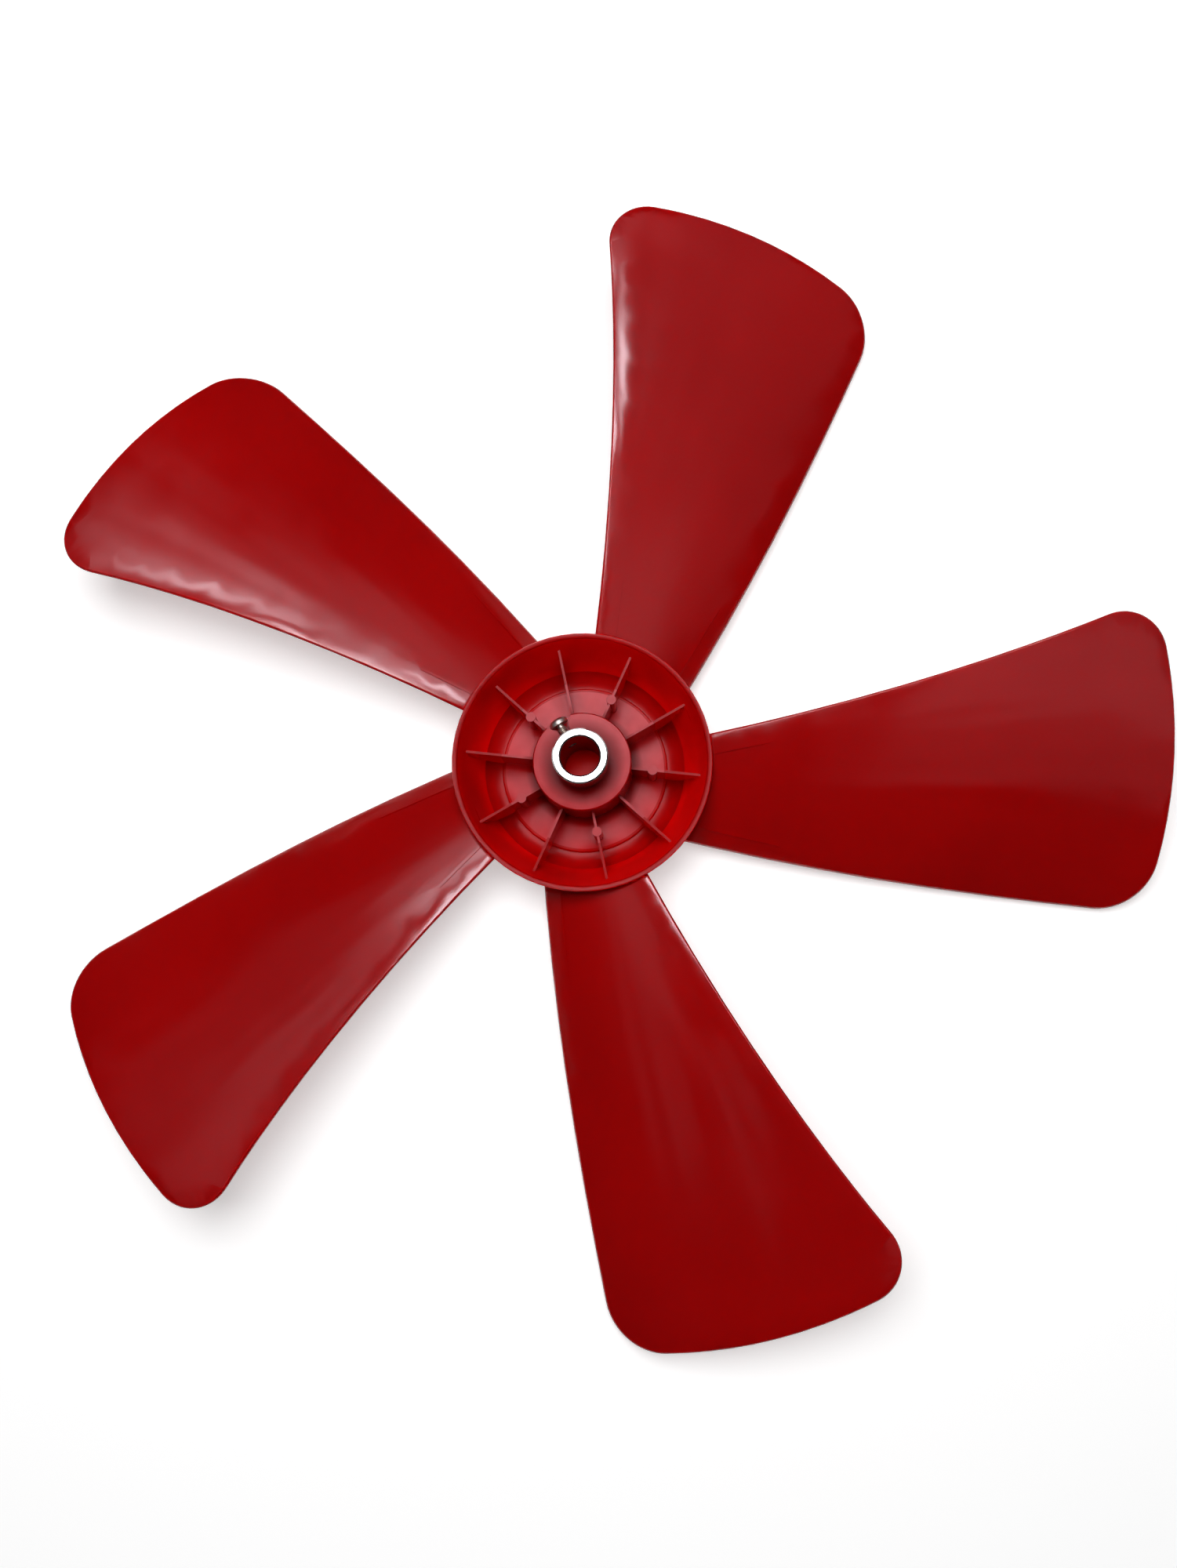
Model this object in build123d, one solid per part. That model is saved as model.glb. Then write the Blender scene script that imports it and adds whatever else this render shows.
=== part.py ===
from build123d import *
import os
from math import atan2, cos, degrees, hypot, radians, sin, tan

# Five-blade fan rotor: one plastic moulding, the metal bush moulded into it and the screw that clamps the
# shaft. Millimetres. The origin is on the shaft axis, at the blind end of the bore, where the shaft stops.
# +Z runs along the axis and out of the mouth of the bore, so the open back of the hub is up.

# Shaft bush
BORE_DIAMETER = 12.7
BUSH_DIAMETER = 18.0
BUSH_LENGTH = 28.0
BUSH_CHAMFER = 0.5

# Set screw, with its axis across the shaft's
SCREW_DIAMETER = 3.0
SCREW_LENGTH = 7.5
SCREW_HEIGHT = 15.0
SCREW_CLEARANCE = 0.05
SCREW_TIP_GAP = 0.3
SCREW_TIP_CHAMFER = 0.5
SCREW_HEAD_DIAMETER = 5.6
SCREW_HEAD_HEIGHT = 2.4
SCREW_HEAD_BEVEL = 1.0
SCREW_SLOT_WIDTH = 0.8
SCREW_SLOT_DEPTH = 1.2
SCREW_SLOT_TURN = 60.0
SCREW_NOTCH_GAP = 0.5
SCREW_NOTCH_WALL = 1.8
SCREW_NOTCH_TURN = -45.0

# Hub cup: a tapered wall that opens upwards from a flat nose
RIM_DIAMETER = 85.6
RIM_HEIGHT = 17.2
RIM_BEVEL = 0.4
HUB_WALL = 1.7
HUB_TAPER = 20.0
NOSE_DEPTH = 7.6
NOSE_BEVEL = 4.0
FLOOR_THICKNESS = 3.0
FLOOR_BEVEL = 2.5
PAD_GAP = 2.4
PAD_RISE = 1.0
PAD_BEVEL = 0.5

# Boss around the bush, ribs from the boss to the wall, and ejector posts on every second rib
BOSS_DIAMETER = 32.5
BOSS_HEIGHT = 15.6
BOSS_BEVEL = 0.4
RIB_COUNT = 10
RIB_THICKNESS = 0.8
RIB_HEIGHT = 11.6
FIRST_RIB_ANGLE = -6.2
POST_DIAMETER = 3.2
POST_CIRCLE = 46.4
POST_RISE = 0.5

# Blades. Each is laid out along its own radius line: sections stand across that line, and a section's middle
# lies behind the line by its setback. Values are given at the root radius and at the tip. The root's height
# follows from the gap between the hub's rim and the leading edge under it.
BLADE_COUNT = 5
FIRST_BLADE_ANGLE = 78.5
TIP_DIAMETER = 380.0
ROOT_RADIUS = 40.0
ROOT_CHORD = 39.0
TIP_CHORD = 108.6
ROOT_PITCH = 22.8
TIP_PITCH = 14.9
ROOT_SETBACK = 14.0
TIP_SETBACK = 20.9
SETBACK_BOW = 3.7
ROOT_RIM_GAP = 1.5
TIP_HEIGHT = 10.6
HEIGHT_BOW = 1.1
ROOT_CAMBER = 2.5
TIP_CAMBER = 5.8
BLADE_THICKNESS = 2.3
BLADE_EDGE_BEVEL = 0.7
LEAD_CORNER_RADIUS = 13.5
TRAIL_CORNER_RADIUS = 17.3
ROOT_FLARE = 1.0

# Two short stiffening ribs on the back of each blade's root, one along each edge
ROOT_RIB_WIDTH = 0.9
ROOT_RIB_RISE = 0.3
LEAD_RIB_INSET = 6.8
TRAIL_RIB_INSET = 5.2
ROOT_RIB_REACH = 19.0

# Making of the blade: how far its sections run in and out past the finished outline, and how many there are
BLADE_START = 12.0
TIP_OVERRUN = 4.0
EDGE_OVERRUN = 1.1
SECTION_COUNT = 6
FUSE_DEPTH = 0.4

# Middle of the gap after a blade's leading edge, as an angle from the blade's radius line at the hub
GAP_ANGLE = 15.0
ON_FACE = 0.01

bore_radius = BORE_DIAMETER / 2
bush_radius = BUSH_DIAMETER / 2
boss_radius = BOSS_DIAMETER / 2
rim_radius = RIM_DIAMETER / 2
tip_radius = TIP_DIAMETER / 2
nose_z = -NOSE_DEPTH
floor_z = nose_z + FLOOR_THICKNESS
pad_z = floor_z + PAD_RISE
rib_angles = [FIRST_RIB_ANGLE + i * 360 / RIB_COUNT for i in range(RIB_COUNT)]
blade_angles = [FIRST_BLADE_ANGLE + i * 360 / BLADE_COUNT for i in range(BLADE_COUNT)]
pockets_to_screw = 3
screw_angle = FIRST_RIB_ANGLE + (pockets_to_screw + 0.5) * 360 / RIB_COUNT
screw_head_radius = bore_radius + SCREW_TIP_GAP + SCREW_LENGTH
screw_end_radius = screw_head_radius + SCREW_HEAD_HEIGHT
blade_reach = 2 * (RIM_HEIGHT + NOSE_DEPTH)


def wall_radius(z, depth=0.0):
    """Radius of the hub's tapered wall at a height, at a depth under its outer face."""
    taper = radians(HUB_TAPER)
    return rim_radius - depth / cos(taper) - (RIM_HEIGHT - z) * tan(taper)


def pad_radius():
    """Radius of the raised pad, which stops a gap short of the bevel at the foot of the wall."""
    return wall_radius(floor_z, HUB_WALL) - FLOOR_BEVEL - PAD_GAP


def revolved(points, bevels=()):
    """Solid of revolution about Z from (radius, height) points, with bevels as (point, size)."""
    face = make_face(Polyline(*points, close=True))
    for point, size in bevels:
        corner = face.vertices().sort_by_distance((*point, 0))[0]
        face = chamfer(corner, size)
    return revolve(Plane.XZ * face, Axis.Z)


def at_screw(shape):
    """Places a shape made along +X on the set screw's axis."""
    return Pos(0, 0, SCREW_HEIGHT) * Rot(0, 0, screw_angle) * shape


def along_x(diameter, start, end):
    """Cylinder on the X axis."""
    return Pos((start + end) / 2, 0, 0) * Rot(0, 90, 0) * Cylinder(diameter / 2, end - start)


def block(start, end, width, low, high):
    """Box along +X, centred on the X axis sideways."""
    middle = ((start + end) / 2, 0, (low + high) / 2)
    return Pos(*middle) * Box(end - start, width, high - low)


def make_hub():
    """The cup with its nose, floor, raised pad and boss, open for the bush."""
    nose_corner = (wall_radius(nose_z), nose_z)
    rim_outer = (rim_radius, RIM_HEIGHT)
    rim_inner = (wall_radius(RIM_HEIGHT, HUB_WALL), RIM_HEIGHT)
    floor_corner = (wall_radius(floor_z, HUB_WALL), floor_z)
    pad_top = (pad_radius(), pad_z)
    boss_top = (boss_radius, BOSS_HEIGHT)
    points = [(0, nose_z), nose_corner, rim_outer, rim_inner, floor_corner, (pad_radius(), floor_z), pad_top,
              (boss_radius, pad_z), boss_top, (bush_radius, BOSS_HEIGHT), (bush_radius, 0), (0, 0)]
    bevels = [(nose_corner, NOSE_BEVEL), (rim_outer, RIM_BEVEL), (rim_inner, RIM_BEVEL),
              (floor_corner, FLOOR_BEVEL), (pad_top, PAD_BEVEL), (boss_top, BOSS_BEVEL)]
    return revolved(points, bevels)


def make_ribs():
    """Radial ribs from the boss to the wall, trimmed to the inside of the cup, and the ejector posts."""
    low = floor_z - FUSE_DEPTH
    wall_depth = HUB_WALL - FUSE_DEPTH
    inside = revolved([(0, low), (wall_radius(low, wall_depth), low),
                       (wall_radius(RIB_HEIGHT, wall_depth), RIB_HEIGHT), (0, RIB_HEIGHT)])
    rib = block(boss_radius - FUSE_DEPTH, rim_radius, RIB_THICKNESS, low, RIB_HEIGHT)
    ribs = [inside & (Rot(0, 0, angle) * rib) for angle in rib_angles]
    post_height = RIB_HEIGHT + POST_RISE - low
    post = Pos(POST_CIRCLE / 2, 0, low + post_height / 2) * Cylinder(POST_DIAMETER / 2, post_height)
    posts = [Rot(0, 0, angle) * post for angle in rib_angles[::2]]
    return ribs + posts


def make_screw_notch():
    """Notch in the boss, open at the top: a square corner for the screw's head and a slot for its shank."""
    corner = bush_radius + SCREW_NOTCH_WALL
    side = boss_radius + SCREW_HEAD_HEIGHT - corner
    head_drop = SCREW_HEAD_DIAMETER / 2 + SCREW_NOTCH_GAP
    shank_width = SCREW_DIAMETER + 2 * SCREW_NOTCH_GAP
    top = BOSS_HEIGHT - SCREW_HEIGHT + SCREW_NOTCH_GAP
    square = Pos(side / 2, side / 2, (top - head_drop) / 2) * Box(side, side, top + head_drop)
    wide = Pos(corner, 0, 0) * Rot(0, 0, SCREW_NOTCH_TURN) * square
    narrow = block(bore_radius, corner + shank_width, shank_width, -shank_width / 2, top)
    return at_screw(wide + narrow)


def blade_share(radius):
    """How far along the blade a radius lies, from 0 at the root to 1 just past the tip, and the bow there."""
    share = (radius - ROOT_RADIUS) / (tip_radius + TIP_OVERRUN - ROOT_RADIUS)
    return share, 4 * share * (1 - share)


def blade_width(radius):
    """Chord and pitch in radians of the blade's section at a radius."""
    share, bow = blade_share(radius)
    chord = ROOT_CHORD + (TIP_CHORD - ROOT_CHORD) * share
    pitch = radians(ROOT_PITCH + (TIP_PITCH - ROOT_PITCH) * share ** 4)
    return chord, pitch


def root_height():
    """Height of the blade's middle at the root radius, with its leading edge a gap under the hub's rim."""
    share, bow = blade_share(rim_radius)
    chord, pitch = blade_width(rim_radius)
    rise = chord / 2 * sin(pitch) + BLADE_THICKNESS / 2 * cos(pitch)
    middle = RIM_HEIGHT - ROOT_RIM_GAP - rise
    return (middle - TIP_HEIGHT * share - HEIGHT_BOW * bow) / (1 - share)


def blade_place(radius):
    """Setback, height and camber of the blade's section at a radius."""
    share, bow = blade_share(radius)
    setback = ROOT_SETBACK + (TIP_SETBACK - ROOT_SETBACK) * share + SETBACK_BOW * bow
    height = root_height() * (1 - share) + TIP_HEIGHT * share + HEIGHT_BOW * bow
    camber = ROOT_CAMBER + (TIP_CAMBER - ROOT_CAMBER) * share
    return setback, height, camber


def blade_point(radius, side, lift=0.0):
    """Point of the blade at a radius: side runs from -1, trailing, to 1, leading; lift is off its middle."""
    chord, pitch = blade_width(radius)
    setback, height, camber = blade_place(radius)
    half = side * chord / 2
    y = half * cos(pitch) - lift * sin(pitch) - setback
    z = half * sin(pitch) + lift * cos(pitch) + height + camber * (1 - side ** 2)
    return Vector(radius, y, z)


def section_radii():
    """Radii of the blade's sections, evenly spaced."""
    step = (tip_radius + TIP_OVERRUN - BLADE_START) / (SECTION_COUNT - 1)
    return [BLADE_START + i * step for i in range(SECTION_COUNT)]


def blade_slab(low, high):
    """Twisted, cambered slab between two lifts off the blade's middle, wider than the finished blade."""
    sections = []
    for radius in section_radii():
        under = [blade_point(radius, side, low) for side in (-EDGE_OVERRUN, 0, EDGE_OVERRUN)]
        over = [blade_point(radius, side, high) for side in (EDGE_OVERRUN, 0, -EDGE_OVERRUN)]
        lead = Line(under[-1], over[0])
        trail = Line(over[-1], under[0])
        sections.append(make_face([ThreePointArc(*under), lead, ThreePointArc(*over), trail]))
    return loft(sections)


def blade_outline():
    """Planform of the blade on the XY plane: two curved edges, the tip on its circle and rounded corners."""
    lead = [(radius, blade_point(radius, 1).Y) for radius in section_radii()]
    trail = [(radius, blade_point(radius, -1).Y) for radius in section_radii()]
    edges = [Spline(*lead), Line(lead[-1], trail[-1]), Spline(*trail), Line(trail[0], lead[0])]
    face = make_face(edges) & Circle(tip_radius)
    for sign, radius in ((1, LEAD_CORNER_RADIUS), (-1, TRAIL_CORNER_RADIUS)):
        far = face.vertices().sort_by(lambda v: v.X * tip_radius + sign * v.Y * rim_radius)[-1]
        face = fillet(far, radius)
    return face


def make_blade():
    """One blade along +X, with its edges broken, reaching into the hub."""
    half = BLADE_THICKNESS / 2
    blade = blade_slab(-half, half) & extrude(blade_outline(), blade_reach, both=True)
    skins = blade.faces().sort_by(SortBy.AREA)[-2:]
    rim = [edge for skin in skins for edge in skin.edges() if edge.center().X > BLADE_START + FUSE_DEPTH]
    return chamfer(rim, BLADE_EDGE_BEVEL)


def make_root_ribs():
    """Two short ribs on the back of the root of the blade along +X, one beside each edge."""
    radii = (BLADE_START, rim_radius + ROOT_RIB_REACH)
    raised = blade_slab(0, BLADE_THICKNESS / 2 + ROOT_RIB_RISE)
    ribs = []
    for side, inset in ((1, LEAD_RIB_INSET), (-1, TRAIL_RIB_INSET)):
        start, end = [Vector(radius, blade_point(radius, side).Y - side * inset) for radius in radii]
        middle = (start + end) / 2
        lean = degrees(atan2(end.Y - start.Y, end.X - start.X))
        footprint = Rot(0, 0, lean) * Rectangle((end - start).length, ROOT_RIB_WIDTH)
        ribs.append(raised & extrude(Pos(middle.X, middle.Y) * footprint, blade_reach, both=True))
    return ribs


def is_root(edge):
    """True for an edge where a skin of a blade meets the outer face of the hub's wall."""
    points = [edge.position_at(share) for share in (0, 0.5, 1)]
    on_wall = all(abs(hypot(p.X, p.Y) - wall_radius(p.Z)) < ON_FACE for p in points)
    return on_wall and edge.length > BLADE_THICKNESS


def make_rotor():
    """The whole moulding: hub and blades with flared roots, then the ribs and posts, then the notch."""
    cup_points = [(0, floor_z), (wall_radius(floor_z, HUB_WALL), floor_z),
                  (wall_radius(blade_reach, HUB_WALL), blade_reach), (0, blade_reach)]
    cup = revolved(cup_points)
    blade = make_blade() - cup
    root_ribs = [rib - cup for rib in make_root_ribs()]
    hub = Rot(0, 0, FIRST_BLADE_ANGLE + GAP_ANGLE) * make_hub()
    shell = hub + [Rot(0, 0, angle) * blade for angle in blade_angles]
    roots = [edge for edge in shell.edges().filter_by(GeomType.BSPLINE) if is_root(edge)]
    shell = chamfer(roots, ROOT_FLARE)
    details = make_ribs() + [Rot(0, 0, angle) * rib for angle in blade_angles for rib in root_ribs]
    return shell + details - make_screw_notch()


def make_bush():
    """Turned sleeve with a chamfered mouth and a tapped cross hole for the set screw."""
    points = [(bore_radius, 0), (bush_radius, 0), (bush_radius, BUSH_LENGTH - BUSH_CHAMFER),
              (bush_radius - BUSH_CHAMFER, BUSH_LENGTH), (bore_radius + BUSH_CHAMFER, BUSH_LENGTH),
              (bore_radius, BUSH_LENGTH - BUSH_CHAMFER)]
    hole = along_x(SCREW_DIAMETER + 2 * SCREW_CLEARANCE, 0, BUSH_DIAMETER)
    return revolved(points) - at_screw(hole)


def make_screw():
    """Slotted pan-head screw along +X, head outwards, its tip just short of the bore."""
    tip = bore_radius + SCREW_TIP_GAP
    shank = along_x(SCREW_DIAMETER, tip, screw_head_radius)
    shank = chamfer(shank.edges().sort_by(Axis.X)[0], SCREW_TIP_CHAMFER)
    head = along_x(SCREW_HEAD_DIAMETER, screw_head_radius, screw_end_radius)
    head = chamfer(head.edges().sort_by(Axis.X)[-1], SCREW_HEAD_BEVEL)
    slot = block(screw_end_radius - SCREW_SLOT_DEPTH, screw_end_radius + SCREW_SLOT_DEPTH, SCREW_SLOT_WIDTH,
                 -SCREW_HEAD_DIAMETER, SCREW_HEAD_DIAMETER)
    return at_screw(Rot(SCREW_SLOT_TURN, 0, 0) * (shank + head - slot))


os.makedirs("parts", exist_ok=True)
export_step(make_rotor(), "parts/fan_rotor.step")
export_step(make_bush(), "parts/shaft_bush.step")
export_step(make_screw(), "parts/set_screw.step")
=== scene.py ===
# %% [markdown]
# # A moulded fan rotor, seen from its open back
# The rotor is one moulding of glossy red plastic, with a metal bush in its hub and a small screw that clamps
# the shaft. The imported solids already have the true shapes, so this lesson gives them their finishes, light and
# camera. It models one piece itself: the screw, which needs a thread.

# %% Load the frame
import math
import bmesh
import bpy
from mathutils import Matrix, Vector


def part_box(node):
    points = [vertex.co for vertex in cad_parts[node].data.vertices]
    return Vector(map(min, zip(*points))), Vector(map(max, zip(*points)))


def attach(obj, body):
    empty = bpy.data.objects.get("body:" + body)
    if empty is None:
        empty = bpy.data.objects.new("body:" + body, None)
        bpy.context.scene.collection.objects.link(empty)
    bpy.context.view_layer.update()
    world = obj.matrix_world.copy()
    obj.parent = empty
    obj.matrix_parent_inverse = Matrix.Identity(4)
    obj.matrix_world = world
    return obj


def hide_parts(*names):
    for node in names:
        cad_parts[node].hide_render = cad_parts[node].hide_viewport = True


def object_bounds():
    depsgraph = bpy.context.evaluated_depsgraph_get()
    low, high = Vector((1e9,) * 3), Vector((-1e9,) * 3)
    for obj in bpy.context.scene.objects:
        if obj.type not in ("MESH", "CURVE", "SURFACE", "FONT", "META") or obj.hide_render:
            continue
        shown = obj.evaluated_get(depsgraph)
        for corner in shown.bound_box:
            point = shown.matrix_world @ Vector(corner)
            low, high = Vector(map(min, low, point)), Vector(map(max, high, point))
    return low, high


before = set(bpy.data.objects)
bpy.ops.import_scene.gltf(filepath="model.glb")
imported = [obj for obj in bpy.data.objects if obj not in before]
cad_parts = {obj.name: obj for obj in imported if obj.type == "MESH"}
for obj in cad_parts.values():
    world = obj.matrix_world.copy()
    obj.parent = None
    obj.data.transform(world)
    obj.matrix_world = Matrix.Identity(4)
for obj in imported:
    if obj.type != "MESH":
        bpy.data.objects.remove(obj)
cad_low, cad_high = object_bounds()
MM = 0.001
scene = bpy.context.scene
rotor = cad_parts["fan_rotor"]
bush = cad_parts["shaft_bush"]
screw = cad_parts["set_screw"]
print("frame", sorted(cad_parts), "box", [round(v, 4) for v in cad_high - cad_low])

# %% [markdown]
# ## The camera
# The picture was taken from close by, looking almost straight down the shaft axis, so the blades that are nearer
# to the lens look larger. The camera is described the way a photographer would: how far it stands from the
# rotor, how far it is tilted off the axis and where the axis falls in the picture. Its place follows from those
# few values.

# %% Camera
PICTURE_WIDTH = 1501
PICTURE_HEIGHT = 2000
SENSOR_LONG_SIDE = 36.0
VIEW_DISTANCE = 474.8 * MM
VIEW_TILT_X = math.radians(-7.644)
VIEW_TILT_Y = math.radians(-2.818)
AXIS_PIXEL = Vector((744.3, 977.5))
PIXELS_PER_METRE = 3806.1
AXIS_HEIGHT = 4.4 * MM

tilt = Matrix.Rotation(VIEW_TILT_X, 3, "X") @ Matrix.Rotation(VIEW_TILT_Y, 3, "Y")
aim_right = (AXIS_PIXEL.x - PICTURE_WIDTH / 2) / PIXELS_PER_METRE
aim_up = (PICTURE_HEIGHT / 2 - AXIS_PIXEL.y) / PIXELS_PER_METRE
camera_place = tilt.transposed() @ Vector((-aim_right, -aim_up, VIEW_DISTANCE))
camera_place.z += AXIS_HEIGHT
camera_data = bpy.data.cameras.new("photo_camera")
camera_data.sensor_width = SENSOR_LONG_SIDE
camera_data.lens = VIEW_DISTANCE * PIXELS_PER_METRE / PICTURE_HEIGHT * SENSOR_LONG_SIDE
camera = bpy.data.objects.new("photo_camera", camera_data)
camera.matrix_world = Matrix.Translation(camera_place) @ tilt.transposed().to_4x4()
scene.collection.objects.link(camera)
scene.camera = camera
print("camera at", [round(v, 4) for v in camera_place], "lens", round(camera_data.lens, 2))

# %% [markdown]
# ## Finishes
# Each finish is a node tree on Object coordinates, so a pattern stays at its real size on the piece. A few
# helpers keep the trees short: they start a finish, add a node or a noise, turn a noise into a range, two
# colours or a bump, and put the finish on a piece. A noise seldom strays from its middle, so the middle alone is
# spread over the range.

# %% Helpers for node trees
NOISE_LOW = 0.35
NOISE_HIGH = 0.65


def new_finish(name, **sockets):
    """Starts a material and sets the sockets that are the same all over the surface."""
    material = bpy.data.materials.new(name)
    material.use_nodes = True
    shader = material.node_tree.nodes["Principled BSDF"]
    for socket, value in sockets.items():
        shader.inputs[socket.replace("_", " ")].default_value = value
    return material, material.node_tree, shader


def add_node(tree, kind, **settings):
    """Adds a node; settings whose names are sockets set their values, the others are the node's own options."""
    node = tree.nodes.new(kind)
    for name, value in settings.items():
        socket = name.replace("_", " ")
        if socket in node.inputs:
            node.inputs[socket].default_value = value
        else:
            setattr(node, name, value)
    return node


def add_noise(tree, feature_size, detail=2.0, stretch=(1, 1, 1)):
    """Noise whose lumps are about as large as the feature size, on Object coordinates."""
    coordinates = add_node(tree, "ShaderNodeTexCoord")
    mapping = add_node(tree, "ShaderNodeMapping", Scale=stretch)
    noise = add_node(tree, "ShaderNodeTexNoise", Scale=1 / feature_size, Detail=detail)
    tree.links.new(coordinates.outputs["Object"], mapping.inputs["Vector"])
    tree.links.new(mapping.outputs["Vector"], noise.inputs["Vector"])
    return noise.outputs["Fac"]


def to_range(tree, value, low, high):
    """Spreads the middle of a noise over a range."""
    spread = add_node(tree, "ShaderNodeMapRange", From_Min=NOISE_LOW, From_Max=NOISE_HIGH,
                      To_Min=low, To_Max=high)
    tree.links.new(value, spread.inputs["Value"])
    return spread.outputs["Result"]


def to_colours(tree, value, first, second):
    """Blends two colours by the middle of a noise."""
    ramp = add_node(tree, "ShaderNodeValToRGB")
    for element, place, colour in zip(ramp.color_ramp.elements, (NOISE_LOW, NOISE_HIGH), (first, second)):
        element.position = place
        element.color = (*colour, 1)
    tree.links.new(value, ramp.inputs["Fac"])
    return ramp.outputs["Color"]


def add_bump(tree, height, depth, under=None, share=None):
    """Bump of a real depth, over another bump and as strong as a mask says, if these are given."""
    bump = add_node(tree, "ShaderNodeBump", Distance=depth)
    tree.links.new(height, bump.inputs["Height"])
    if under:
        tree.links.new(under, bump.inputs["Normal"])
    if share:
        tree.links.new(share, bump.inputs["Strength"])
    return bump.outputs["Normal"]


def wear(piece, material):
    """Gives a piece its finish."""
    piece.data.materials.clear()
    piece.data.materials.append(material)
    print(piece.name, "wears", material.name)


# %% [markdown]
# ### Soft edges
# A moulded edge is never sharp: it has a small round, and that round is what catches the light. The solids have
# bevels there. Welding the loose triangles and weighting the normals by face area lets the shading run round
# each bevel while the large faces stay flat, so the edge looks round with no more faces.

# %% Soft edges
WELD_DISTANCE = 0.005 * MM
SHARP_ANGLE = math.radians(52)
NORMAL_WEIGHT = 90


def soften_edges(piece):
    """Welds a node's triangles, keeps steep edges sharp and leans the other normals towards the large faces."""
    weld = piece.modifiers.new("weld", "WELD")
    weld.merge_threshold = WELD_DISTANCE
    split = piece.modifiers.new("sharp_edges", "EDGE_SPLIT")
    split.split_angle = SHARP_ANGLE
    lean = piece.modifiers.new("soft_edges", "WEIGHTED_NORMAL")
    lean.weight = NORMAL_WEIGHT
    print(piece.name, "has soft edges")


soften_edges(rotor)

# %% [markdown]
# ### Masks
# The rotor is one piece with one finish, yet its hub looks different from its blades. The odd places could be
# painted by hand, but masks worked out from the distance to the shaft axis and from the way a face looks do it
# without a picture. A mask is 1 where something holds and 0 where it doesn't, so a product of masks says "and"
# and the largest of them says "or".

# %% Masks
def add_compare(tree, value, operation, limit):
    """1 where a value is above or below a limit, 0 elsewhere."""
    compare = add_node(tree, "ShaderNodeMath", operation=operation)
    compare.inputs[1].default_value = limit
    tree.links.new(value, compare.inputs[0])
    return compare.outputs[0]


def add_chain(tree, operation, first, *others):
    """Works through several masks, one after another."""
    for other in others:
        step = add_node(tree, "ShaderNodeMath", operation=operation)
        tree.links.new(first, step.inputs[0])
        tree.links.new(other, step.inputs[1])
        first = step.outputs[0]
    return first


def add_product(tree, *masks):
    """Product of masks: 1 only where all of them are 1."""
    return add_chain(tree, "MULTIPLY", *masks)


def add_largest(tree, *masks):
    """Largest of several masks: 1 where any of them is 1."""
    return add_chain(tree, "MAXIMUM", *masks)


def mix_in(tree, share, first, second, kind="RGBA"):
    """Goes from the first colour or value, where the share is 0, to the second, where it is 1."""
    mix = add_node(tree, "ShaderNodeMix", data_type=kind)
    number = {"FLOAT": 0, "RGBA": 2}[kind]
    sockets = [[socket for socket in mix.inputs if socket.name == name][number] for name in ("A", "B")]
    tree.links.new(share, mix.inputs[0])
    for socket, value in zip(sockets, (first, second)):
        if isinstance(value, bpy.types.NodeSocket):
            tree.links.new(value, socket)
        else:
            socket.default_value = value
    return [socket for socket in mix.outputs if socket.enabled][0]


# %% Distance and direction
def add_radius(tree):
    """Distance from the shaft axis."""
    coordinates = add_node(tree, "ShaderNodeTexCoord")
    across = add_node(tree, "ShaderNodeVectorMath", operation="MULTIPLY")
    across.inputs[1].default_value = (1, 1, 0)
    length = add_node(tree, "ShaderNodeVectorMath", operation="LENGTH")
    tree.links.new(coordinates.outputs["Object"], across.inputs[0])
    tree.links.new(across.outputs["Vector"], length.inputs[0])
    return length.outputs["Value"]


def add_ramp(tree, start, end):
    """0 up to one distance from the shaft axis, rising to 1 at another."""
    ramp = add_node(tree, "ShaderNodeMapRange", From_Min=start, From_Max=end)
    tree.links.new(add_radius(tree), ramp.inputs["Value"])
    return ramp.outputs["Result"]


def add_facing(tree):
    """How far a face looks up along the shaft axis, from -1 to 1."""
    geometry = add_node(tree, "ShaderNodeNewGeometry")
    split = add_node(tree, "ShaderNodeSeparateXYZ")
    tree.links.new(geometry.outputs["True Normal"], split.inputs[0])
    return split.outputs["Z"]


# %% [markdown]
# ### Places in the hub
# Four places in the hub differ from the blades. The flat faces round the bush come from a rougher part of the
# mould, and are painted lighter too, for the light that the cup's wall keeps off them. The other faces that look
# up inside the rim, such as the tops of the ribs, are duller than the blades. The thin wall and the blind end of
# the bore get a painted glow, for light that would come through the thin plastic. Over all of them, painted shade
# darkens the foot of the bush and of the boss. The outer side of the hub has none of this, so faces that look
# down are left out.

# %% Places in the hub
SATIN_RADIUS = 27 * MM
SATIN_FACING = 0.95
RIM_RADIUS = 43.5 * MM
HUB_FACING = 0.3
WALL_FOOT = 27.5 * MM
WALL_FACING = 0.6
OUTER_FACING = -0.1
BORE_RADIUS = 6.4 * MM


def add_hub_masks(tree):
    """Masks: flat faces round the bush, all that looks up inside the rim, the thin wall and the bore's end."""
    radius, facing = add_radius(tree), add_facing(tree)
    near = add_compare(tree, radius, "LESS_THAN", SATIN_RADIUS)
    flat = add_product(tree, near, add_compare(tree, facing, "GREATER_THAN", SATIN_FACING))
    inside_rim = add_compare(tree, radius, "LESS_THAN", RIM_RADIUS)
    upward = add_product(tree, inside_rim, add_compare(tree, facing, "GREATER_THAN", HUB_FACING))
    outside_floor = add_compare(tree, radius, "GREATER_THAN", WALL_FOOT)
    leaning = add_compare(tree, facing, "LESS_THAN", WALL_FACING)
    inner_side = add_compare(tree, facing, "GREATER_THAN", OUTER_FACING)
    wall = add_product(tree, inside_rim, outside_floor, leaning, inner_side)
    bore_end = add_product(tree, inner_side, add_compare(tree, radius, "LESS_THAN", BORE_RADIUS))
    return flat, upward, wall, bore_end
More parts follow.
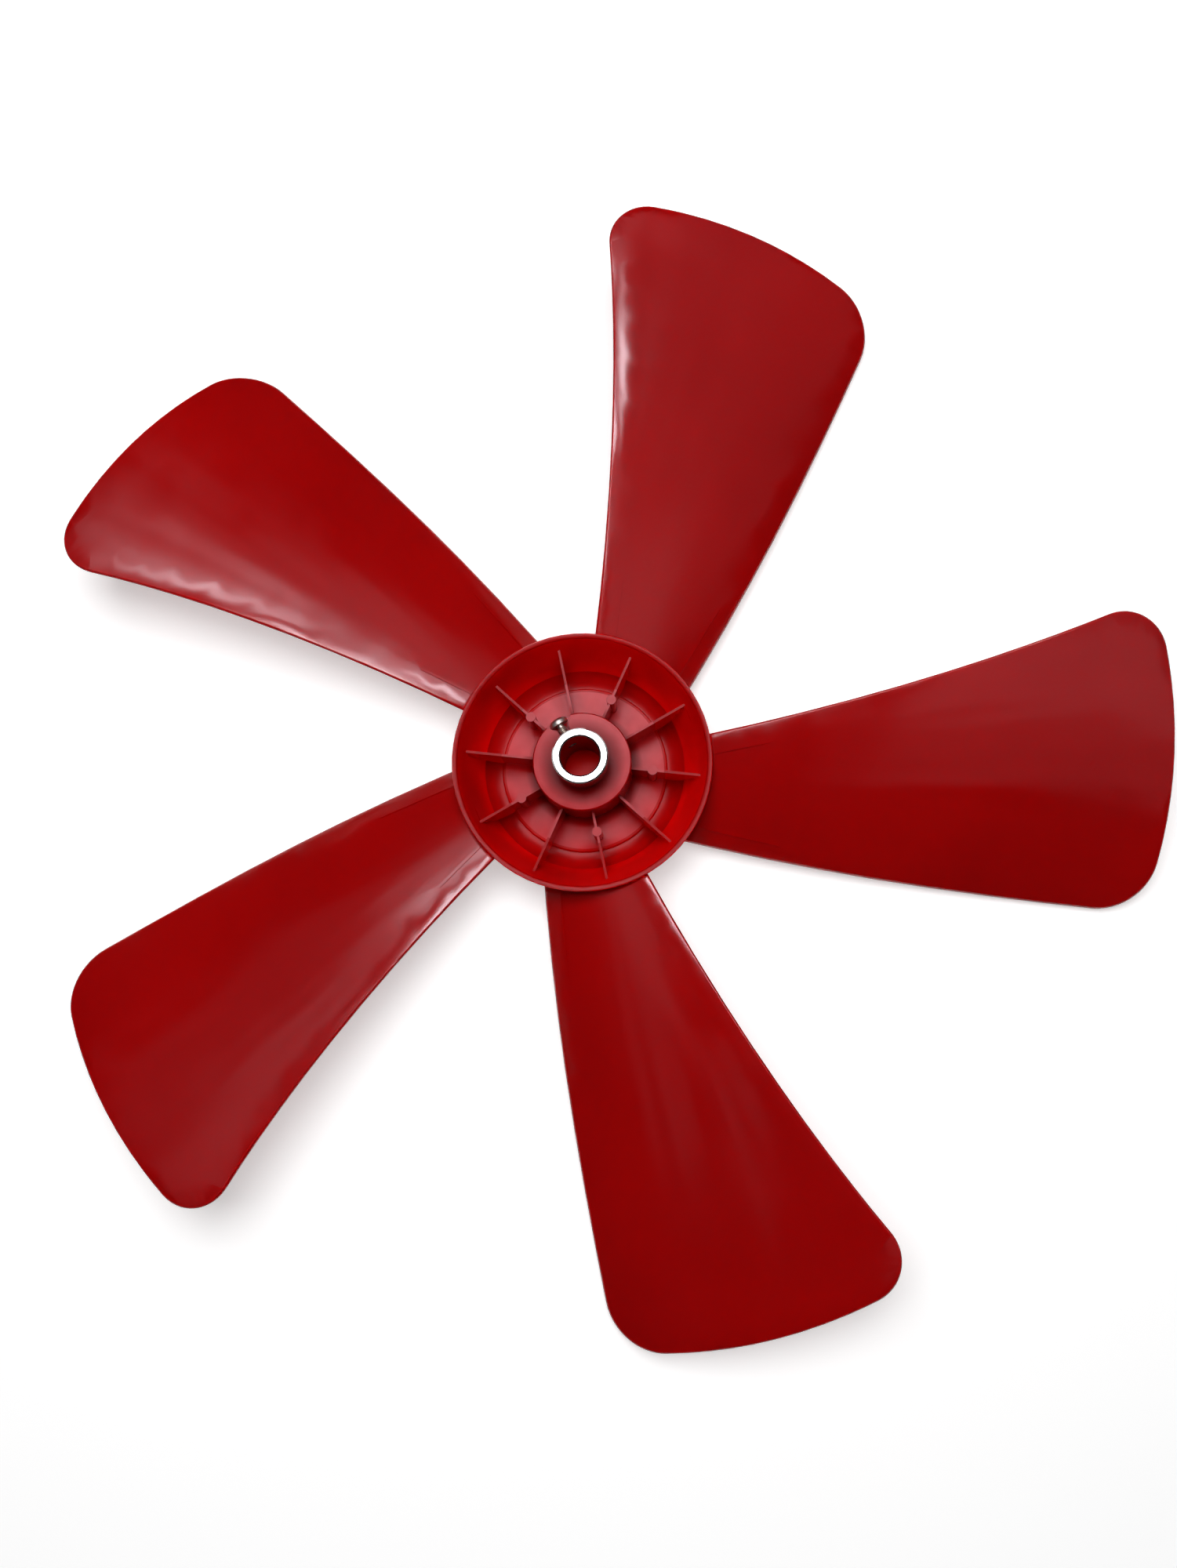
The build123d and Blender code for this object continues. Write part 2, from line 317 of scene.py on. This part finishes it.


# %% Painted shade at the foot of the bush and of the boss
BUSH_RADIUS = 9.0 * MM
BUSH_UNSHADED_RADIUS = 14.5 * MM
BOSS_RADIUS = 16.3 * MM
BOSS_UNSHADED_RADIUS = 20.0 * MM


def add_unshaded_share(tree):
    """1 where no shade is painted: 0 at the foot of the bush and of the boss, inside the hub, rising to 1 away
    from them.
    """
    on_boss = add_compare(tree, add_radius(tree), "LESS_THAN", BOSS_RADIUS)
    boss = add_product(tree, on_boss, add_ramp(tree, BUSH_RADIUS, BUSH_UNSHADED_RADIUS))
    pads = add_ramp(tree, BOSS_RADIUS, BOSS_UNSHADED_RADIUS)
    outer_side = add_compare(tree, add_facing(tree), "LESS_THAN", OUTER_FACING)
    return add_largest(tree, boss, pads, outer_side)


# %% [markdown]
# ### Red plastic
# The rotor is deep red all through and glossy from a polished mould. What keeps such a surface from looking like
# paint is slight: colour that drifts where the melt flowed, gloss that is duller in places, low ridges that run
# out along the blades and the soft waviness of a cooling sheet. In the hub, the flat faces are a paler, blotchy
# satin with painted light on it, the wall has a painted glow in patches and the end of the bore one too, and
# painted shade darkens the foot of the bush and of the boss.

# %% Flow ridges
FLOW_RADIUS = 120 * MM
FLOW_STRETCH = 0.12


def add_flow_ridges(tree, width):
    """Noise drawn out along the radius, as the melt ran from hub to tips. Its seam is between two blades."""
    coordinates = add_node(tree, "ShaderNodeTexCoord")
    split = add_node(tree, "ShaderNodeSeparateXYZ")
    turn = add_node(tree, "ShaderNodeMath", operation="ARCTAN2")
    join = add_node(tree, "ShaderNodeCombineXYZ")
    mapping = add_node(tree, "ShaderNodeMapping", Scale=(FLOW_RADIUS / width, FLOW_STRETCH / width, 1))
    noise = add_node(tree, "ShaderNodeTexNoise", Scale=1, Detail=1)
    tree.links.new(coordinates.outputs["Object"], split.inputs[0])
    tree.links.new(split.outputs["Y"], turn.inputs[0])
    tree.links.new(split.outputs["X"], turn.inputs[1])
    tree.links.new(turn.outputs[0], join.inputs["X"])
    tree.links.new(add_radius(tree), join.inputs["Y"])
    tree.links.new(join.outputs["Vector"], mapping.inputs["Vector"])
    tree.links.new(mapping.outputs["Vector"], noise.inputs["Vector"])
    return noise.outputs["Fac"]


# %% Colour of the plastic
DEEP_RED = (0.42, 0.0004, 0.0010)
WARM_RED = (0.48, 0.0008, 0.0012)
# The satin colour is paler, and painted lighter as well, for the light that the cup's wall keeps off the flat
# faces.
SATIN_AND_PAINTED_LIGHT_RED = (0.62, 0.006, 0.014, 1)
# Painted glow, for light that would come through the thin wall and through the end of the bore.
PAINTED_GLOW_RED = (0.90, 0.0015, 0.0020, 1)
BORE_PAINTED_GLOW_RED = (1.00, 0.0050, 0.0060, 1)
# Painted shade at the foot of the bush and of the boss.
PAINTED_SHADE_RED = (0.22, 0.0010, 0.0020, 1)
DRIFT_SIZE = 70 * MM
PATCH_SIZE = 30 * MM
PATCH_SHARES = (0.3, 1.0)


def add_plastic_colour(tree, flat, wall, bore_end, unshaded):
    colour = to_colours(tree, add_noise(tree, DRIFT_SIZE), DEEP_RED, WARM_RED)
    patches = to_range(tree, add_noise(tree, PATCH_SIZE, detail=1), *PATCH_SHARES)
    # Painted glow on the wall, in patches.
    colour = mix_in(tree, add_product(tree, wall, patches), colour, PAINTED_GLOW_RED)
    # Paler satin on the flat faces, with painted light.
    colour = mix_in(tree, flat, colour, SATIN_AND_PAINTED_LIGHT_RED)
    # Painted shade at the foot of the bush and of the boss.
    colour = mix_in(tree, unshaded, PAINTED_SHADE_RED, colour)
    # Painted glow at the end of the bore.
    return mix_in(tree, bore_end, colour, BORE_PAINTED_GLOW_RED)


# %% Gloss of the plastic
DULL_SIZE = 25 * MM
BLADE_ROUGHNESS = (0.14, 0.21)
HUB_ROUGHNESS = 0.34
SATIN_ROUGHNESS = 0.42
GLOSS = 0.5
EDGE_GLOSS = 0.15
# Less gloss where shade is painted, at the foot of the bush and of the boss.
PAINTED_SHADE_GLOSS = 0.12


def add_plastic_roughness(tree, flat, upward):
    roughness = to_range(tree, add_noise(tree, DULL_SIZE, detail=4), *BLADE_ROUGHNESS)
    roughness = mix_in(tree, upward, roughness, HUB_ROUGHNESS, "FLOAT")
    return mix_in(tree, flat, roughness, SATIN_ROUGHNESS, "FLOAT")


def add_plastic_gloss(tree, flat, upward, unshaded):
    gloss = mix_in(tree, upward, GLOSS, EDGE_GLOSS, "FLOAT")
    gloss = mix_in(tree, flat, gloss, GLOSS, "FLOAT")
    return mix_in(tree, unshaded, PAINTED_SHADE_GLOSS, gloss, "FLOAT")


# %% Relief of the plastic
WAVE_SIZE = 45 * MM
WAVE_DEPTH = 0.35 * MM
RIDGE_WIDTH = 14 * MM
RIDGE_DEPTH = 0.6 * MM
GRAIN_SIZE = 1.2 * MM
GRAIN_DEPTH = 0.004 * MM


def add_plastic_relief(tree):
    """Waviness, over it ridges that fade in from the rim outwards, and over both a fine grain."""
    on_blades = add_ramp(tree, RIM_RADIUS, FLOW_RADIUS)
    waves = add_bump(tree, add_noise(tree, WAVE_SIZE, detail=1), WAVE_DEPTH)
    ridges = add_bump(tree, add_flow_ridges(tree, RIDGE_WIDTH), RIDGE_DEPTH, waves, on_blades)
    return add_bump(tree, add_noise(tree, GRAIN_SIZE), GRAIN_DEPTH, ridges)


# %% Red plastic
PLASTIC_IOR = 1.5
SCATTER_RADIUS = (1.0, 0.1, 0.08)
SCATTER_DEPTH = 3 * MM
BLOTCH_SIZE = 8 * MM
BLOTCH_SHARES = (0.6, 1.0)


def make_red_plastic():
    material, tree, shader = new_finish("red_plastic", IOR=PLASTIC_IOR, Subsurface_Weight=1.0,
                                        Subsurface_Radius=SCATTER_RADIUS, Subsurface_Scale=SCATTER_DEPTH)
    flat, upward, wall, bore_end = add_hub_masks(tree)
    # Painted shade at the foot of the bush and of the boss; the satin fades out there too.
    unshaded = add_unshaded_share(tree)
    blotches = to_range(tree, add_noise(tree, BLOTCH_SIZE), *BLOTCH_SHARES)
    flat = add_product(tree, flat, unshaded, blotches)
    surface = {
        "Base Color": add_plastic_colour(tree, flat, wall, bore_end, unshaded),
        "Roughness": add_plastic_roughness(tree, flat, upward),
        "Specular IOR Level": add_plastic_gloss(tree, flat, upward, unshaded),
        "Normal": add_plastic_relief(tree),
    }
    for socket, value in surface.items():
        tree.links.new(value, shader.inputs[socket])
    return material


wear(rotor, make_red_plastic())

# %% [markdown]
# ### Bright metal
# The bush is turned from bar and the screw is plated. A turned face has fine rings, so a noise that is squeezed
# along the shaft axis gives the bush its lathe marks, while the screw gets a finer, more even grain. The wall of
# the bore gets painted shade, a dark colour deep in the hole, which a mask by height and distance from the axis
# picks out.

# %% Turned metal
BUSH_MOUTH = 27.3 * MM
# Painted shade on the wall of the bore, where the hole is deep and dark.
BORE_PAINTED_SHADE = (0.10, 0.09, 0.09, 1)
METAL_DARK = (0.62, 0.60, 0.60)
METAL_PALE = (0.74, 0.72, 0.72)
METAL_ROUGHNESS = (0.16, 0.26)
METAL_TONE_SIZE = 3 * MM
METAL_TONE_STRETCH = (1, 1, 6)
RING_SIZE = 0.8 * MM
RING_STRETCH = (0.1, 0.1, 4)
RING_DEPTH = 0.01 * MM


def add_inside_bore(tree):
    """1 on the wall of the bore, 0 on the bush's end and outside."""
    coordinates = add_node(tree, "ShaderNodeTexCoord")
    split = add_node(tree, "ShaderNodeSeparateXYZ")
    tree.links.new(coordinates.outputs["Object"], split.inputs[0])
    below = add_compare(tree, split.outputs["Z"], "LESS_THAN", BUSH_MOUTH)
    return add_product(tree, below, add_compare(tree, add_radius(tree), "LESS_THAN", BORE_RADIUS))


def make_turned_metal():
    material, tree, shader = new_finish("bright_metal", Metallic=1.0)
    tone = add_noise(tree, METAL_TONE_SIZE, stretch=METAL_TONE_STRETCH)
    colour = to_colours(tree, tone, METAL_DARK, METAL_PALE)
    # Painted shade on the wall of the bore.
    colour = mix_in(tree, add_inside_bore(tree), colour, BORE_PAINTED_SHADE)
    rings = add_noise(tree, RING_SIZE, stretch=RING_STRETCH)
    tree.links.new(colour, shader.inputs["Base Color"])
    tree.links.new(to_range(tree, tone, *METAL_ROUGHNESS), shader.inputs["Roughness"])
    tree.links.new(add_bump(tree, rings, RING_DEPTH), shader.inputs["Normal"])
    return material


wear(bush, make_turned_metal())

# %% Screw steel
STEEL_DARK = (0.60, 0.56, 0.48)
STEEL_PALE = (0.78, 0.74, 0.66)
STEEL_ROUGHNESS = (0.35, 0.5)
STEEL_TONE_SIZE = 1.5 * MM
STEEL_GRAIN_SIZE = 0.4 * MM
STEEL_GRAIN_DEPTH = 0.01 * MM


def make_screw_steel():
    material, tree, shader = new_finish("screw_steel", Metallic=1.0)
    tone = add_noise(tree, STEEL_TONE_SIZE, detail=3)
    grain = add_noise(tree, STEEL_GRAIN_SIZE)
    tree.links.new(to_colours(tree, tone, STEEL_DARK, STEEL_PALE), shader.inputs["Base Color"])
    tree.links.new(to_range(tree, tone, *STEEL_ROUGHNESS), shader.inputs["Roughness"])
    tree.links.new(add_bump(tree, grain, STEEL_GRAIN_DEPTH), shader.inputs["Normal"])
    return material


# %% [markdown]
# ## The clamping screw
# The solid of the screw has a plain shank and a flat, slotted head with a bevel. The real one has a thread and a
# domed head, and both are turned shapes, so a spun outline gives them: up the thread's teeth, out under the head
# and over the dome. The thread is drawn as rings, which at half a millimetre apart look like the helix. Two cuts
# beside the slot and one at its floor let the strip between them be taken out, and the open sides are filled
# again. The screw's axis, ends and head are measured on the solid that it stands for.

# %% Where the screw is
screw_points = [vertex.co for vertex in screw.data.vertices]
screw_low, screw_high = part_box("set_screw")
screw_middle = (Vector(screw_low) + Vector(screw_high)) / 2
screw_axis = Vector((screw_middle.x, screw_middle.y, 0)).normalized()
screw_foot = Vector((0, 0, screw_middle.z))
screw_tip = min((point - screw_foot).dot(screw_axis) for point in screw_points)
screw_end = max((point - screw_foot).dot(screw_axis) for point in screw_points)
head_radius = max((point - screw_foot).cross(screw_axis).length for point in screw_points)
print("screw from", round(screw_tip, 5), "to", round(screw_end, 5), "head radius", round(head_radius, 5))

# %% Outline of the screw
THREAD_RADIUS = 1.5 * MM
THREAD_DEPTH = 0.25 * MM
THREAD_PITCH = 0.5 * MM
THREAD_COUNT = 13
HEAD_HEIGHT = 2.4 * MM
HEAD_SKIRT = 0.9 * MM
DOME_STEPS = 8


def screw_outline():
    """Outline from the tip to the top of the dome, as distances along the screw's axis and from it."""
    head_foot = screw_end - HEAD_HEIGHT
    dome_height = HEAD_HEIGHT - HEAD_SKIRT
    yield screw_tip, 0
    for tooth in range(THREAD_COUNT):
        yield screw_tip + tooth * THREAD_PITCH, THREAD_RADIUS - THREAD_DEPTH
        yield screw_tip + (tooth + 0.5) * THREAD_PITCH, THREAD_RADIUS
    yield screw_tip + THREAD_COUNT * THREAD_PITCH, THREAD_RADIUS - THREAD_DEPTH
    yield head_foot, THREAD_RADIUS - THREAD_DEPTH
    yield head_foot, head_radius
    for step in range(DOME_STEPS + 1):
        turn = math.pi / 2 * step / DOME_STEPS
        yield head_foot + HEAD_SKIRT + dome_height * math.sin(turn), head_radius * math.cos(turn)


# %% Spinning and slotting
SPIN_STEPS = 48
SLOT_WIDTH = 0.8 * MM
SLOT_DEPTH = 1.2 * MM
CUT_TOLERANCE = 1e-7
ON_CUT = 1e-6


def spin_screw(mesh):
    """Spins the outline round the X axis and closes the seam and the two poles."""
    points = [mesh.verts.new((along, 0, across)) for along, across in screw_outline()]
    edges = [mesh.edges.new(pair) for pair in zip(points, points[1:])]
    bmesh.ops.spin(mesh, geom=points + edges, cent=(0, 0, 0), axis=(1, 0, 0), angle=2 * math.pi,
                   steps=SPIN_STEPS, use_merge=True)
    bmesh.ops.remove_doubles(mesh, verts=mesh.verts, dist=WELD_DISTANCE / 2)
    bmesh.ops.recalc_face_normals(mesh, faces=mesh.faces)


def cut_slot(mesh):
    """Takes the strip between two cuts out of the dome, then fills the two sides and the floor of the slot."""
    floor_at = screw_end - SLOT_DEPTH
    half = SLOT_WIDTH / 2
    cuts = [((0, half, 0), (0, 1, 0)), ((0, -half, 0), (0, 1, 0)), ((floor_at, 0, 0), (1, 0, 0))]
    for place, normal in cuts:
        whole = mesh.verts[:] + mesh.edges[:] + mesh.faces[:]
        bmesh.ops.bisect_plane(mesh, geom=whole, dist=CUT_TOLERANCE, plane_co=place, plane_no=normal)
    middles = {face: face.calc_center_median() for face in mesh.faces}
    strip = [face for face, middle in middles.items() if middle.x > floor_at and abs(middle.y) < half]
    bmesh.ops.delete(mesh, geom=strip, context="FACES")
    open_edges = [edge for edge in mesh.edges if edge.is_boundary]
    for side in (half, -half):
        rim = [edge for edge in open_edges if all(abs(v.co.y - side) < ON_CUT for v in edge.verts)]
        corners = [v for edge in rim for v in edge.verts if abs(v.co.x - floor_at) < ON_CUT]
        bottom = mesh.edges.new(corners)
        bmesh.ops.contextual_create(mesh, geom=rim + [bottom])
    bmesh.ops.contextual_create(mesh, geom=[edge for edge in mesh.edges if edge.is_boundary])
    bmesh.ops.recalc_face_normals(mesh, faces=mesh.faces)


# %% Threaded screw
SLOT_TURN = math.radians(60)
CREASE_ANGLE = math.radians(35)


def make_screw():
    mesh = bmesh.new()
    spin_screw(mesh)
    cut_slot(mesh)
    aim = Matrix.Rotation(math.atan2(screw_axis.y, screw_axis.x), 4, "Z")
    turn = aim @ Matrix.Rotation(SLOT_TURN, 4, "X")
    bmesh.ops.transform(mesh, matrix=Matrix.Translation(screw_foot) @ turn, verts=mesh.verts)
    for face in mesh.faces:
        face.smooth = True
    for edge in mesh.edges:
        edge.smooth = edge.calc_face_angle(0) < CREASE_ANGLE
    open_count = sum(not edge.is_manifold for edge in mesh.edges)
    data = bpy.data.meshes.new("clamp_screw")
    mesh.to_mesh(data)
    mesh.free()
    piece = bpy.data.objects.new("clamp_screw", data)
    scene.collection.objects.link(piece)
    print("clamp_screw faces", len(data.polygons), "open edges", open_count)
    return piece


clamp_screw = make_screw()
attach(clamp_screw, "root")
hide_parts("set_screw")
wear(clamp_screw, make_screw_steel())

# %% [markdown]
# ## The floor
# The rotor lies on a pale floor. Camera rays see the floor lifted to white by a little emission, which lights
# nothing, so the shadow stays. Rays that metal and gloss mirror see the same white.

# %% Floor
FLOOR_SIZE = 6.0
FLOOR_COLOUR = (0.9, 0.9, 0.9, 1)
FLOOR_ROUGHNESS = 0.9
FLOOR_LIFT = 0.5
WHITE = (1, 1, 1, 1)
LIFTED_RAYS = ("Is Camera Ray", "Is Glossy Ray", "Is Transmission Ray")


def make_floor_paint():
    material, tree, shader = new_finish("floor_paint", Base_Color=FLOOR_COLOUR, Roughness=FLOOR_ROUGHNESS,
                                        Specular_IOR_Level=0.0, Emission_Color=WHITE)
    path = add_node(tree, "ShaderNodeLightPath")
    seen = add_largest(tree, *(path.outputs[ray] for ray in LIFTED_RAYS))
    lift = add_node(tree, "ShaderNodeMath", operation="MULTIPLY")
    lift.inputs[1].default_value = FLOOR_LIFT
    tree.links.new(seen, lift.inputs[0])
    tree.links.new(lift.outputs[0], shader.inputs["Emission Strength"])
    return material


bpy.ops.mesh.primitive_plane_add(size=FLOOR_SIZE, location=(0, 0, cad_low.z))
floor = bpy.context.object
floor.name = "floor"
floor.data.materials.append(make_floor_paint())
print("floor at", round(floor.location.z, 4))

# %% [markdown]
# ## World and lamps
# The room is dim, so blades that mirror it keep their deep colour. One lamp could both shade the rotor and be
# mirrored in it, but then no highlight moves without the shading. So the two jobs are split. The key light
# overhead shades the rotor and casts its shadow, and gloss doesn't see it. The cards are seen by gloss alone: a
# bright window for the metal and the flat faces, a strip and a side card for the lines along two leading edges,
# and wide, weak cards for the faint veil on the blades. The strip and the side cards hang higher, where the
# places that different blades mirror lie further apart.

# %% World
ROOM_LIGHT = 0.02

world = bpy.data.worlds.new("studio")
world.use_nodes = True
background = world.node_tree.nodes["Background"]
background.inputs["Color"].default_value = WHITE
background.inputs["Strength"].default_value = ROOM_LIGHT
scene.world = world
scene.view_settings.view_transform = "Standard"
print("room light", ROOM_LIGHT)

# %% Key light
LAMP_HEIGHT = 0.9
KEY_FACE = (-0.35, 0.27, -0.07, 0.47, 6.6)


def add_softbox(name, height, left, right, near, far, radiance):
    """Rectangular lamp that faces straight down, with its power worked out from how bright its face looks."""
    data = bpy.data.lights.new(name, "AREA")
    data.shape = "RECTANGLE"
    data.size = right - left
    data.size_y = far - near
    data.energy = radiance * math.pi * data.size * data.size_y
    lamp = bpy.data.objects.new(name, data)
    lamp.location = ((left + right) / 2, (near + far) / 2, height)
    scene.collection.objects.link(lamp)
    print(name, "power", round(data.energy, 2), "W")
    return lamp


key_light = add_softbox("key_light", LAMP_HEIGHT, *KEY_FACE)
key_light.visible_glossy = False

# %% Gloss cards: left, right, near and far edge in metres, and how bright the face looks
HIGH_HEIGHT = 1.8
CARD_STEP = 0.004
CARD_COLOUR = (1.0, 0.89, 0.96)
LOW_CARDS = {
    "window_card": (-0.14, 0.03, 0.11, 0.34, 20.0),
    "edge_veil_card": (-0.62, 0.06, 0.60, 0.76, 0.8),
    "high_card": (-0.50, 0.30, 0.62, 1.02, 0.33),
    "right_card": (0.16, 1.00, -0.62, 1.05, 0.20),
    "right_lead_card": (0.16, 0.80, -0.27, 0.10, 0.28),
    "far_right_card": (1.00, 1.80, -0.20, 0.80, 0.15),
    "left_card": (-0.72, -0.48, -0.20, 0.30, 0.36),
    "left_inner_card": (-0.54, -0.34, 0.20, 0.55, 0.50),
    "far_left_card": (-1.10, -0.45, -0.05, 0.90, 0.12),
    "low_left_card": (-0.86, -0.66, -0.56, -0.05, 0.18),
    "low_middle_card": (-0.44, -0.30, -0.50, -0.20, 0.16),
}
HIGH_CARDS = {
    "strip_card": (-0.78, 0.08, 1.03, 1.19, 13.0),
    "side_card": (0.27, 0.47, 0.47, 0.76, 24.0),
    "side_veil_card": (0.22, 0.42, 0.76, 1.15, 5.0),
}


def hang_cards(faces, height):
    """Hangs cards a little below one another, so that none hides another, and shows them to gloss alone."""
    for number, (name, face) in enumerate(faces.items(), 1):
        card = add_softbox(name, height - number * CARD_STEP, *face)
        card.visible_diffuse = False
        card.data.color = CARD_COLOUR


hang_cards(LOW_CARDS, LAMP_HEIGHT)
hang_cards(HIGH_CARDS, HIGH_HEIGHT)
